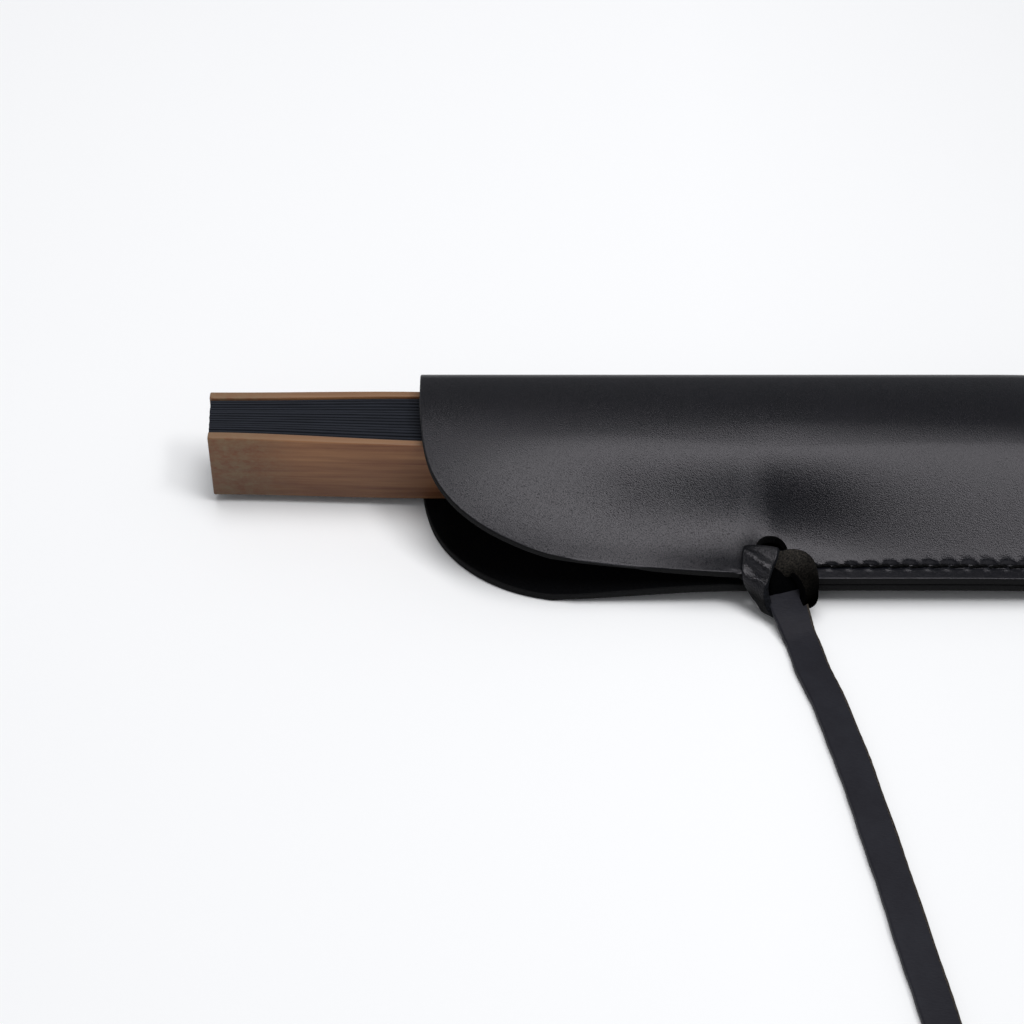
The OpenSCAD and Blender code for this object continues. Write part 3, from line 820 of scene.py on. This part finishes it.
def cross_line(on_top):
    """The thread's line across one face of the sleeve's end."""
    first, last = -SEAM_REACH + SEAM_MARGIN + STITCH_PITCH, back_y(END_LINE) - SEAM_MARGIN
    count = round((last - first) / STITCH_PITCH)
    top, points = FLAT_MID + LEATHER_T / 2, []
    for k in range(count):
        for share, high in STITCH_SHAPE:
            y = first + (last - first) * (k + share) / count
            z = top + high - 0.1 if on_top else 0.5 - min(high, UNDER_SINK)
            points.append((END_LINE + 0.2 * (2 * share - 1), y, z))
    return np.array(points)


seam_stitches = thread_piece("seam_stitches", [seam_line(True), seam_line(False)])
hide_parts("seam_thread")
end_stitches = thread_piece("end_stitches", [cross_line(True), cross_line(False)])
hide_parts("end_thread")


# Knot
# The same lace, drawn through the punched hole and tied round the seam's edge. The left fold
# shows the grain side, creased where it was pulled tight; the right fold shows the flesh side.
LEFT_LOBE = [
    (-3.2, 7.2, 6.4, 0, 1, 0.1, 5.2), (-3.6, 7.1, 8.4, 0, 0.9, 0.5, 6.6),
    (-4, 6.3, 10.1, -0.05, 0.35, 1, 7.8), (-4.3, 4.2, 10.9, -0.1, -0.2, 1, 7.8),
    (-5, 1.7, 10.4, -0.25, -0.6, 0.75, 7.1), (-5.4, -0.9, 8.6, -0.2, -0.85, 0.45, 6),
    (-4.9, -2.7, 6.5, -0.6, -0.8, 0.05, 4.6), (-3.7, -3.7, 4, -0.75, -0.65, -0.2, 4),
    (-2.3, -4.2, 1.7, -0.4, -0.6, -0.7, 4.2), (-1, -2.4, 0.95, 0, -0.1, -1, 5.2),
    (0, 1, 0.95, 0, 0, -1, 6), (0, 6.4, 0.95, 0, 0, -1, 5.6),
]
RIGHT_LOBE = [
    (-3.2, 2.6, 8.3, 0, -0.4, 0.9, 5.2), (-1.2, 2.7, 8.5, 0, -0.4, 0.9, 5.6),
    (1.5, 2.5, 9.5, 0.1, -0.45, 0.88, 6.6), (4.1, 1.2, 10.3, 0.35, -0.6, 0.75, 6.6),
    (5.6, -1.2, 9, 0.65, -0.75, 0.4, 5.6), (6.1, -2.9, 6.7, 0.7, -0.85, 0, 4.6),
    (5.9, -3.8, 4.1, 0.5, -0.9, -0.4, 4.4), (4.7, -3.2, 2.3, 0.2, -0.5, -0.85, 4.8),
    (2.9, 0.6, 2.6, 0, 0, -1, 5.4), (1.6, 5, 2.25, 0, 0, -1, 5.2),
]
HOLE_STRAND = [
    (-2.2, 5.4, 0.95, 0, 1, 0.3, 4.6), (-2.2, 7.2, 2.2, 0, 1, -0.4, 4.6),
    (-2.2, 7.8, 4.4, 0, 1, 0, 4.6), (-2, 7.6, 7, 0, 1, 0, 4.6),
    (-1.6, 7.2, 8.6, 0, 1, 0.3, 4.8),
]
TAIL_ROOT = [
    (0.2, 6, 8.9, 0, 0.3, 1, 4.6), (0.4, 3.2, 8.7, 0, 0, 1, 5.2),
    (0.6, 0.6, 8.3, 0, -0.4, 1, 5.8), (0.75, -1.3, 7.1, 0, -0.9, 0.5, 6.4),
    (*TAIL_POINTS[0], 0, -0.8, 0.6, 6.8),
]
KNOT_STEPS = 17
FOLD_AT = 0.3
CREASE_DEPTH = 0.42
CREASE_REACH = 0.16
BULGE = 0.7
BULGE_REACH = 0.22


def knot_strap(name, stations, finish, shape=None):
    """A strap through stations that each hold a place, the face's direction and a width."""
    rows = smooth_rows(stations, 8)
    return strap_mesh(name, by_knot(rows[:, :3]), unit(rows[:, 3:6]), rows[:, 6], finish,
                      KNOT_STEPS, shape)


def pulled_creases(points, section, side, face):
    """Two soft diagonal folds across the strap where it turns over the edge."""
    share = np.linspace(0, 1, len(points))[:, None]
    across = section[:, 0][None, :]
    phase = share * 40 + across * 2.6
    grainy = (section[:, 1] > 0)[None, :]
    depth = CREASE_DEPTH * np.sin(phase) * bump(share, FOLD_AT, CREASE_REACH) * grainy
    return points + depth[:, :, None] * face[:, None, :]


def swollen(points, section, side, face):
    """The flesh side bulges where the strap is bent hard over itself."""
    share = np.linspace(0, 1, len(points))[:, None]
    bulge = BULGE * (1 - section[:, 0] ** 2)[None, :] * (section[:, 1] > 0)[None, :]
    bulge = bulge * bump(share, FOLD_AT, BULGE_REACH)
    return points + bulge[:, :, None] * face[:, None, :]


def joined(name, parts):
    with bpy.context.temp_override(active_object=parts[0], object=parts[0],
                                   selected_objects=parts, selected_editable_objects=parts):
        bpy.ops.object.join()
    parts[0].name = parts[0].data.name = name
    return parts[0]


def painted_shade_group():
    """Painted shade that deepens along each axis, from where all of a colour is kept to where least
    is.
    """
    names = ("Position", "Dark at", "Light at", "Least")
    tree, add, take, give = node_group("painted knot shade", "Shader", dict.fromkeys(names, "Vector"),
                                       {"Kept": "Float"})
    place, dark_at, light_at, least = (add("SeparateXYZ", None, take[name]) for name in names)
    kept = 1.0
    for axis in "XYZ":
        fade = add("MapRange", {"interpolation_type": "SMOOTHSTEP"}, place.outputs[axis],
                   dark_at.outputs[axis], light_at.outputs[axis], least.outputs[axis])
        kept = add("Math", {"operation": "MULTIPLY"}, fade, kept)
    wire(tree, kept, give["Kept"])
    return tree


painted_shade_tree = painted_shade_group()


def paint_knot_shade(made, dark_at, light_at, least):
    """Paints shade on a leather by the knot: darkens its colour and dulls its gloss between two
    places.
    """
    tree = made.node_tree
    add = node_maker(tree)
    colour = tree.nodes["Principled BSDF"].inputs["Base Color"]
    gloss = tree.nodes["Principled BSDF"].inputs["Specular IOR Level"]
    shade_fade = add("Group", {"node_tree": painted_shade_tree, "Dark at": placed(by_knot(dark_at)).tolist(),
                        "Light at": placed(by_knot(light_at)).tolist(), "Least": least},
              Position=tree.nodes["Texture Coordinate"].outputs["Object"])
    kept = shade_fade.outputs["Kept"]
    darker = add("VectorMath", {"operation": "SCALE"}, colour.links[0].from_socket, Scale=kept)
    duller = add("Math", {"operation": "MULTIPLY"}, kept, gloss.default_value)
    wire(tree, darker, colour)
    wire(tree, duller, gloss)
    return made


# Painted shade on the knot: the grain side darkens and loses its gloss towards the fold's low side,
# and the flesh side towards the right, the front and the table, where the folds shade themselves.
knot_grain = paint_knot_shade(
    smooth_leather("knot_grain", tone(7, 8, 11), tone(14, 15, 19), 2800, 0.00006, 0.3, 0.06,
                   specular=0.36), (0, 0, 5.2), (1, 1, 9.7), (1, 1, 0.06))
knot_flesh = paint_knot_shade(
    suede_leather("knot_flesh", tone(6, 6, 6), tone(70, 65, 59), 2600, 0.00035),
    (7.2, -2.2, 5), (2.8, 3, 10.2), (0.5, 0.25, 0.03))
knot_cut = suede_leather("knot_cut", tone(5, 6, 8), tone(34, 36, 42), 2600, 0.0001, specular=0.1)
# Painted shade: a near-black suede with almost no gloss, for the tail's root in the slot under the
# right fold and for that fold's cut edge, which the folds over them shade.
knot_painted_shade = suede_leather("knot_painted_shade", tone(1, 1, 2), tone(6, 6, 7), 2600, 0.0001,
                            specular=0.02)
lace_knot = joined("knot", [
    knot_strap("left_fold", LEFT_LOBE, [knot_grain, knot_flesh, knot_cut], pulled_creases),
    knot_strap("right_fold", RIGHT_LOBE, [knot_flesh, knot_grain, knot_painted_shade], swollen),
    knot_strap("hole_strand", HOLE_STRAND, [knot_grain, knot_flesh, knot_cut]),
    # The tail's root is drawn all in painted shade, where it sinks into the slot.
    knot_strap("tail_root", TAIL_ROOT, [knot_painted_shade, knot_painted_shade, knot_painted_shade]),
])
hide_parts("lace_knot")
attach(lace_knot, "sleeve")


# Guards
# Two stout smoked bamboo slips, one on each side of the fan, tallest at the tip and narrow at
# the rivet. Their edges are eased, and the fibres run along them.
FAN_OUT = 48.0
FAN_LEN = 225.0
FAN_TIP_T = 15.5
FAN_PIVOT_T = 13.2
SWELL_AT = 52.0
HANDLE_FLAT = 50.0
GUARD_PIVOT_H = 10.6
GUARD_TIP_T = 2.2
GUARD_T = 1.75
GUARD_EDGE_R = 0.35
FRONT_TIP_IN = 0.65
FRONT_TIP_RUN = 20.0
LEAF_LEN = 128.0
PIVOT_R = GUARD_PIVOT_H / 2
RIVET_S = FAN_LEN - PIVOT_R


def fan_half(s):
    """Half of the closed fan's thickness, at a distance from its tip."""
    tip = mix(FAN_TIP_T, FAN_SWELL_T, ease(0, SWELL_AT, s))
    return mix(tip, FAN_PIVOT_T, ease(1.6 * SWELL_AT, FAN_LEN - HANDLE_FLAT, s)) / 2


def guard_thick(s):
    return mix(GUARD_TIP_T, GUARD_T, ease(0, LEAF_LEN / 2, s))


def guard_h(s):
    run = np.clip(s / (RIVET_S - 3 * PIVOT_R), 0, 1)
    return GUARD_TIP_H - (GUARD_TIP_H - GUARD_PIVOT_H) * run ** 1.35


def fan_placed(s, y, z):
    """Points of the fan, from its tip and its lower edge."""
    return np.stack([s - FAN_OUT, y, z + FAN_Z], -1)


def faces_outwards(piece):
    """Turns a closed piece's faces outwards."""
    solid = bmesh.new()
    solid.from_mesh(piece.data)
    bmesh.ops.remove_doubles(solid, verts=solid.verts, dist=1e-7)
    bmesh.ops.recalc_face_normals(solid, faces=solid.faces)
    solid.to_mesh(piece.data)
    solid.free()


def guard_mesh(name, side):
    """A blade lofted along the fan: a rectangle with eased corners at each station."""
    eased = GUARD_EDGE_R
    s = np.concatenate([[0, 0.06, 0.18, 0.35], np.linspace(0.8, RIVET_S, 150),
                        RIVET_S + PIVOT_R * sind(np.linspace(4, 88, 22))])
    start = FRONT_TIP_IN * (1 - np.clip(s / FRONT_TIP_RUN, 0, 1)) if side < 0 else 0 * s
    beyond = np.clip(s - RIVET_S, 0, PIVOT_R)
    round_off = PIVOT_R - np.sqrt(np.maximum(PIVOT_R ** 2 - beyond ** 2, 0))
    tip = eased - np.sqrt(np.maximum(eased ** 2 - np.clip(eased - s, 0, eased) ** 2, 0))
    low, high = round_off + tip, guard_h(s) - round_off - tip
    outside = fan_half(s) - tip
    inside = fan_half(s) - guard_thick(s) + tip
    turns = np.radians(np.linspace(0, 90, 4))
    ring = []
    for y, z, y_in, z_in in ((outside, high, -1, -1), (inside, high, 1, -1),
                             (inside, low, 1, 1), (outside, low, -1, 1)):
        r = np.minimum(eased, np.abs(high - low) / 2.2)
        corner = [(y + y_in * r * (1 - math.sin(a)), z + z_in * r * (1 - math.cos(a)))
                  for a in (turns if y_in * z_in > 0 else turns[::-1])]
        ring += corner[::-1]
    points = np.stack([fan_placed(s + start, side * y, z) for y, z in ring], 1)
    n, m = points.shape[:2]
    quads = [(a, d, c, b) for a, b, c, d in ring_quads(n, m)]
    quads += [tuple(range(m)), tuple((n - 1) * m + j for j in range(m - 1, -1, -1))]
    if side > 0:
        quads = [q[::-1] for q in quads]
    guard = new_mesh(name, points.reshape(-1, 3), quads, [bamboo_face], sharp=70)
    faces_outwards(guard)
    return guard


def bamboo(name, warm, deep, pale, blotch, edge):
    """Smoked bamboo: long fibres, darker streaks, a mottled greyer patch near the tip, and painted
    shade that darkens it towards the bottom.
    """
    made, add, feed, ramp = material(name, 0.5, 0.35)
    where = add("TexCoord").outputs["Object"]
    parts = add("SeparateXYZ", None, where)

    def grown(scale, detail, rough):
        way = add("Mapping", {"Scale": scale}, Vector=where)
        return add("TexNoise", {"Scale": 1.0, "Detail": detail, "Roughness": rough}, Vector=way)

    def layered(amount, under, over):
        layer = add("Mix", {"data_type": "RGBA"}, amount)
        wire(made.node_tree, under, layer.inputs[6])
        wire(made.node_tree, over, layer.inputs[7])
        return layer.outputs[2]

    fibre = grown((22.0, 900.0, 900.0), 5.0, 0.6)
    band = grown((9.0, 160.0, 210.0), 3.0, 0.55)
    spot = grown((420.0, 700.0, 700.0), 4.0, 0.7)
    streak = add("MapRange", {"From Min": 0.35, "From Max": 0.72, "To Max": 0.55}, fibre)
    striped = layered(streak, ramp(band, (0.36, deep), (0.64, warm)), pale)
    tip_x = float(placed((-FAN_OUT, 0, 0))[0])
    near_tip = add("MapRange", {"From Min": tip_x + 0.0235, "From Max": tip_x + 0.007,
                                "interpolation_type": "SMOOTHSTEP"}, parts.outputs["X"])
    some = add("Math", {"operation": "MULTIPLY"}, near_tip, 0.8)
    mottled = layered(some, striped, ramp(spot, (0.32, deep), (0.68, blotch)))
    facing = add("SeparateXYZ", None, add("NewGeometry").outputs["Normal"])
    on_edge = add("MapRange", {"From Min": 0.6, "From Max": 0.95, "To Max": 0.55},
                  facing.outputs["Z"])
    edged = layered(on_edge, mottled, edge)
    # Painted shade and light: the colour is scaled from 0.68 near the table to 1.16 at the top.
    painted_low_shade = add("MapRange", {"From Min": 0.002, "From Max": 0.0195, "To Min": 0.68,
                              "To Max": 1.16}, parts.outputs["Z"])
    toned = add("VectorMath", {"operation": "SCALE"}, edged, Scale=painted_low_shade)
    feed("Base Color", toned)
    gloss = add("MapRange", {"To Min": 0.42, "To Max": 0.6}, fibre)
    feed("Roughness", gloss)
    lines = add("Bump", {"Strength": 0.5, "Distance": 0.00006}, Height=fibre)
    feed("Normal", lines)
    return made


bamboo_face = bamboo("bamboo_smoked", tone(124, 84, 54), tone(96, 54, 31), tone(154, 114, 78),
                     tone(106, 90, 66), tone(116, 90, 66))
front_guard = guard_mesh("guard_front", -1)
rear_guard = guard_mesh("guard_rear", 1)
for guard, node in ((front_guard, "front_guard"), (rear_guard, "rear_guard")):
    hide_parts(node)
    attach(guard, "fan")


# Leaf
# One strip of blue-black paper folded to and fro, a rib in every second fold. The folds are
# pressed by hand, so their edges do not stand quite level.
LEAF_T = 0.18
LEAF_INSET = 0.7
FOLD_SWELL = 0.17
RIB_COUNT = 15
TOP_SLIP = 0.12
TIP_SLIP = 0.12
TIP_SLANT = 0.55
FACETS = 2 * RIB_COUNT
wander = np.random.default_rng(7)


def pleat_pitch(s):
    return (2 * (fan_half(s) - guard_thick(s)) - LEAF_T) / (RIB_COUNT - 0.5)


def leaf_paper():
    """Dyed paper with a fine laid texture."""
    made, add, feed, ramp = material("leaf_paper", 0.85, 0.25)
    where = add("TexCoord").outputs["Object"]
    way = add("Mapping", {"Scale": (120.0, 2200.0, 1400.0)}, Vector=where)
    fibre = add("TexNoise", {"Scale": 1.0, "Detail": 6.0, "Roughness": 0.7}, Vector=way)
    feed("Base Color", ramp(fibre, (0.34, tone(21, 24, 31)), (0.7, tone(34, 37, 46))))
    tooth = add("Bump", {"Strength": 0.6, "Distance": 0.00006}, Height=fibre)
    feed("Normal", tooth)
    return made


def leaf_mesh():
    """The strip's centre line zigzags over the fold edges; two skins and their rims close it."""
    s = 0.15 + (LEAF_LEN - 0.15) * np.linspace(0, 1, 90) ** 1.15
    top_slip = wander.uniform(-TOP_SLIP, TOP_SLIP, FACETS + 1)
    tip_slip = wander.uniform(0.0, TIP_SLIP, FACETS + 1) + np.linspace(TIP_SLANT, 0, FACETS + 1)
    lean = np.cumsum(wander.normal(0, 0.05, (FACETS + 1, len(s))), 1)
    lean = (lean - np.linspace(0, 1, len(s)) * lean[:, -1:]) * 0.2
    skins = []
    for skin in (-1, 1):
        columns = []
        for m in range(FACETS):
            y = (m - (FACETS - 1) / 2) * pleat_pitch(s) / 2
            tilt = 1 if m % 2 == 0 else -1
            fold = m + 1 if tilt > 0 else m
            start = tip_slip[fold] * (1 - s / LEAF_LEN) ** 8
            swell = -tilt * FOLD_SWELL * pleat_pitch(s)
            low = (y, LEAF_INSET + LEAF_T + 0 * s, -skin * LEAF_T / 2)
            flank = (y + swell, guard_h(s) - LEAF_INSET - LEAF_T - 0.25 + top_slip[fold], 0)
            crest = (y + 0.45 * swell + tilt * pleat_pitch(s) / 8,
                     guard_h(s) - LEAF_INSET - LEAF_T / 2 + top_slip[fold], -skin * LEAF_T / 2)
            for at_y, z, over in ((low, flank, crest) if tilt > 0 else (crest, flank, low)):
                loose = lean[fold] * 0.5 * (z[0] > 3)
                columns.append(fan_placed(s + start, at_y + loose + skin * tilt * LEAF_T / 2,
                                          z + over))
        skins.append(np.stack(columns, 1))
    n, m = skins[0].shape[:2]
    points = np.vstack([skin.reshape(-1, 3) for skin in skins])
    faces = []
    for i in range(n - 1):
        for j in range(m - 1):
            a = i * m + j
            faces.append((a, a + m, a + m + 1, a + 1))
            faces.append(tuple(n * m + v for v in (a + 1, a + m + 1, a + m, a)))
    for i in range(n - 1):
        for j in (0, m - 1):
            a = i * m + j
            faces.append((a, a + n * m, a + m + n * m, a + m)[:: 1 if j == 0 else -1])
    for i in (0, n - 1):
        for j in range(m - 1):
            a = i * m + j
            faces.append((a, a + 1, a + 1 + n * m, a + n * m)[:: 1 if i == 0 else -1])
    leaf = new_mesh("leaf_pleats", points, faces, [leaf_paper()], sharp=30)
    faces_outwards(leaf)
    return leaf


leaf = leaf_mesh()
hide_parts("leaf")
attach(leaf, "fan")


# Ribs
# Fifteen thin bamboo slips inside the leaf's folds, cut from the same smoked stock as the
# guards but left plain.
bamboo_rib = bamboo("bamboo_rib", tone(112, 84, 62), tone(88, 60, 44), tone(124, 100, 80),
                    tone(110, 90, 72), tone(130, 104, 80))


def painted(solid, finish):
    """Puts a finish on a solid that the scene shows as it is."""
    solid.data.materials.clear()
    solid.data.materials.append(finish)


for k in range(1, RIB_COUNT + 1):
    painted(nodes[f"rib_{k:02d}"], bamboo_rib)


# Rivet
# A steel pin through the whole stack with a domed cap pressed on each end, blackened.
RIVET_CAP_R = 2.6
RIVET_CAP_T = 0.8


def rivet_metal():
    """Blackened steel, rubbed paler on the high spots."""
    made, add, feed, ramp = material("rivet_metal", 0.32)
    where = add("TexCoord").outputs["Object"]
    worn = add("TexNoise", {"Scale": 900.0, "Detail": 4.0}, Vector=where)
    feed("Base Color", ramp(worn, (0, tone(60, 58, 56)), (1, tone(120, 116, 110))))
    gloss = add("MapRange", {"To Min": 0.22, "To Max": 0.45}, worn)
    feed("Roughness", gloss)
    feed("Metallic", 1.0)
    return made


rivet_steel = rivet_metal()


def rivet_cap(name, side):
    """A shallow dome turned about the pin, with a rolled edge."""
    rise_up = np.linspace(0, 90, 9)
    profile = [(0.0, -0.05), (RIVET_CAP_R - 0.12, -0.05), (RIVET_CAP_R, 0.08)]
    profile += [(RIVET_CAP_R * cosd(a) ** 0.7, 0.2 + (RIVET_CAP_T - 0.22) * sind(a))
                for a in rise_up[1:-1]]
    profile += [(0.0, RIVET_CAP_T - 0.02)]
    turns = np.radians(np.arange(0, 360, 10))
    points = [(RIVET_S - FAN_OUT + r * math.cos(a), side * (FAN_PIVOT_T / 2 + h),
               FAN_Z + PIVOT_R + r * math.sin(a)) for r, h in profile for a in turns]
    faces = ring_quads(len(profile), len(turns))
    cap = new_mesh(name, points, faces, [rivet_steel], sharp=50)
    faces_outwards(cap)
    return cap


for side, node in ((-1, "rivet_cap_front"), (1, "rivet_cap_rear")):
    cap = rivet_cap(node.replace("cap", "dome"), side)
    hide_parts(node)
    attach(cap, "fan")
painted(nodes["rivet_pin"], rivet_steel)


# Table and light
# A plain white table under a large softbox, almost overhead, and a small one to the right and
# in front. The room is pale near the horizon and dim above, so the leather's level faces stay
# dark.
TABLE_SIZE = 6.0


def table_top():
    """Matt white, very slightly clouded, with painted shade that makes it a little darker to the
    right.
    """
    made, add, feed, ramp = material("table_white", 0.7, 0.2)
    where = add("TexCoord").outputs["Object"]
    cloud = add("TexNoise", {"Scale": 3.0, "Detail": 2.0}, Vector=where)
    colour = ramp(cloud, (0, (0.90, 0.905, 0.92, 1)), (1, (0.925, 0.93, 0.94, 1)))
    # Painted shade: the white falls to 0.91 of itself towards the right.
    place = add("SeparateXYZ", None, where)
    painted_falloff = add("MapRange", {"From Min": -0.03, "From Max": 0.11, "To Min": 1.0, "To Max": 0.91},
               place.outputs["X"])
    shade = add("VectorMath", {"operation": "SCALE"}, colour, Scale=painted_falloff)
    feed("Base Color", shade)
    return made


bpy.ops.mesh.primitive_plane_add(size=TABLE_SIZE)
table = bpy.context.object
table.name = "table"
table.data.materials.append(table_top())


def softbox(name, watts, size, place):
    """A flat lamp that faces the middle of the picture."""
    lamp_data = bpy.data.lights.new(name, "AREA")
    lamp_data.shape = "RECTANGLE"
    lamp_data.size, lamp_data.size_y = size
    lamp_data.energy = watts
    lamp = bpy.data.objects.new(name, lamp_data)
    scene.collection.objects.link(lamp)
    lamp.location = placed(place)
    ahead = Vector(placed(CAMERA_AIM)) - lamp.location
    lamp.rotation_euler = ahead.to_track_quat("-Z", "Y").to_euler()


softbox("softbox_main", 8.3, (0.98, 0.5), (110, 90, 1100))
softbox("softbox_low", 3.0, (0.34, 0.18), (640, -290, 1080))


def dim_room(camera_white=0.93, glow=0.06, soft=0.34):
    """The room: pale low down and dim above where it is seen, and a soft even light."""
    world = bpy.data.worlds.new("room")
    scene.world = world
    world.use_nodes = True
    tree = world.node_tree
    tree.nodes.clear()
    add = node_maker(tree)
    height = add("SeparateXYZ", None, add("TexCoord").outputs["Generated"])
    band = add("MapRange", {"From Min": 0.45, "From Max": 0.64, "To Min": camera_white,
                            "To Max": glow}, height.outputs["Z"])
    ray = add("LightPath")
    direct = 0.0
    for kind in ("Is Camera Ray", "Is Glossy Ray", "Is Transmission Ray"):
        direct = add("Math", {"operation": "MAXIMUM"}, ray.outputs[kind], direct)
    seen = add("Background", {"Color": (0.97, 0.98, 1.0, 1)}, Strength=band)
    lit = add("Background", {"Color": (0.97, 0.98, 1.0, 1), "Strength": soft})
    both = add("MixShader", None, direct, lit, seen)
    add("OutputWorld", Surface=both)


dim_room()
